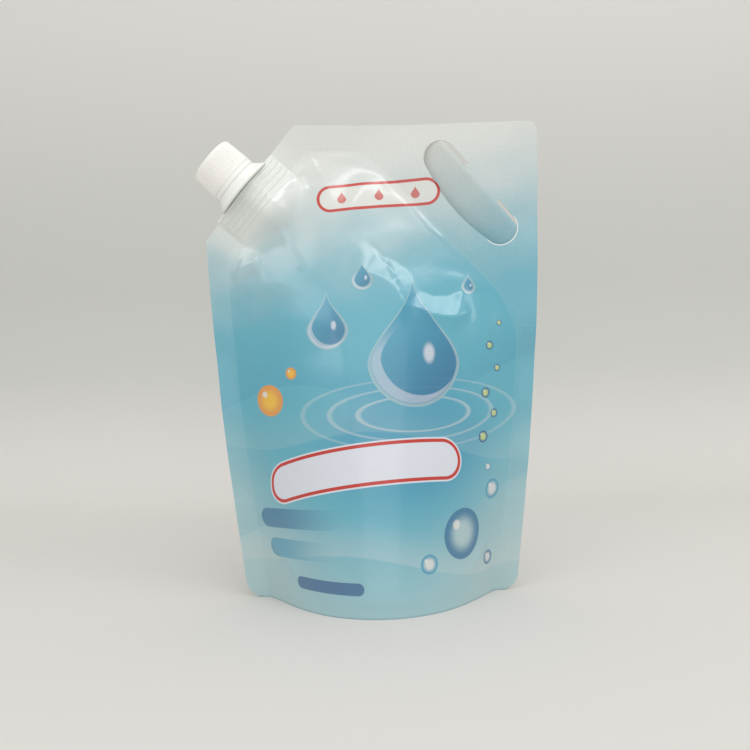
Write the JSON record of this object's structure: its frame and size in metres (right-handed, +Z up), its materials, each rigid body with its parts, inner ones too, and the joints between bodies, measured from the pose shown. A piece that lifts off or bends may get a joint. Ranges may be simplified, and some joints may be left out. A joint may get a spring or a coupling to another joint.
{
  "type": "spout pouch",
  "caption": "Free-standing refill pouch of heat-sealed film with a gusseted base, a cut corner with a screw-capped spout, and a slanted die-cut handle slot.",
  "frame": {"origin": "centre of the bounding box, at the level the base stands on", "axes": "+X to the viewer's right with the spout on the left, +Y away from the viewer, +Z up; the printed front faces -Y"},
  "size_m": [0.1834, 0.09, 0.252],
  "materials": {
    "panel_film": "satin milky laminate, printed with a white to aqua gradient",
    "gusset_film": "satin milky laminate, pale aqua",
    "spout_plastic": "translucent white moulded polyethylene",
    "band_plastic": "moulded white plastic",
    "cap_plastic": "moulded white plastic, finely knurled"
  },
  "bodies": {
    "pouch": {"front_panel": "panel_film", "back_panel": "panel_film", "gusset": "gusset_film", "spout": "spout_plastic"},
    "tamper_band": {"tamper_band": "band_plastic"},
    "cap": {"cap": "cap_plastic"}
  },
  "joints": [
    {"name": "cap_turn", "type": "hinge", "parent": "pouch", "child": "tamper_band", "pos_m": [-0.06541, -0.00512, 0.21845], "axis": [-0.733, -0.165, 0.66], "range_deg": [0, 720]},
    {"name": "cap_lift", "type": "slide", "parent": "tamper_band", "child": "cap", "axis": [-0.733, -0.165, 0.66], "range_m": [0, 0.03]}
  ]
}
